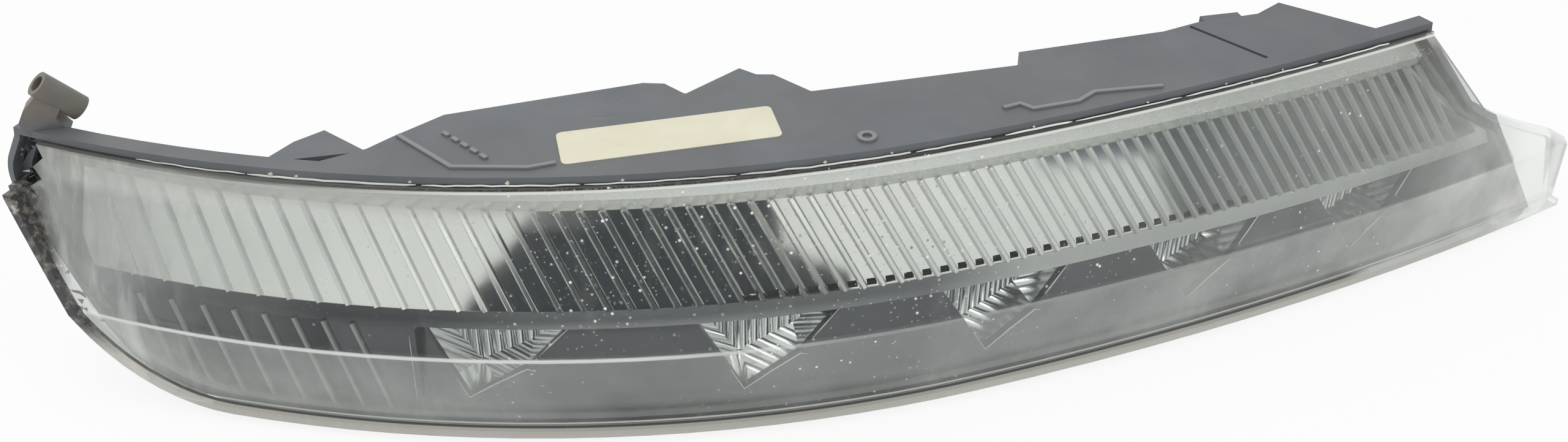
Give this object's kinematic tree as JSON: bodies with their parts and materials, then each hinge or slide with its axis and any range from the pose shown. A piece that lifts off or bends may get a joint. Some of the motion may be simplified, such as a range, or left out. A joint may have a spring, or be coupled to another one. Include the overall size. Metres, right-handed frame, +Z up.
{
  "type": "daytime running light",
  "caption": "Long bowed running light for a car's front bumper: a clear lens over ribbed silver trim with pointed reflector pockets, in a dark plastic housing.",
  "frame": {"origin": "on the flat underside that the lamp rests on, below the middle of its length", "axes": "+X along the lamp towards its inboard end, -Y where the lens looks, +Z up as it lies in the picture"},
  "size_m": [0.4594, 0.0934, 0.087],
  "materials": {
    "housing": "satin dark grey moulded plastic",
    "lens": "clear, hazed by wear",
    "sealant": "matt",
    "trim": "metallised, satin silver",
    "reflector": "metallised, bright",
    "led": "phosphor yellow",
    "board_white": "white solder mask",
    "board_green": "green solder mask",
    "electronics": "moulded components",
    "heat_sink": "satin",
    "screw_steel": "zinc plated",
    "ribbon": "amber film",
    "cover": "black moulded plastic",
    "gasket": "matt",
    "pins": "tinned contacts",
    "membrane": "white vent fabric"
  },
  "bodies": {
    "root": {"housing": "housing", "lens": "lens", "sealant_bead": "sealant", "trim_bezel": "trim", "reflector_1": "reflector", "reflector_2": "reflector", "reflector_3": "reflector", "reflector_4": "reflector", "reflector_5": "reflector", "led_1": "led", "led_2": "led", "led_3": "led", "led_4": "led", "led_5": "led", "led_board": "board_white", "heat_sink": "heat_sink", "board_screws": "screw_steel", "driver_board": "board_green", "driver_parts": "electronics", "link_ribbon": "ribbon", "rear_cover": "cover", "cover_gasket": "gasket", "cover_screws": "screw_steel", "connector_pins": "pins", "vent_cap": "cover", "vent_membrane": "membrane"}
  },
  "joints": []
}
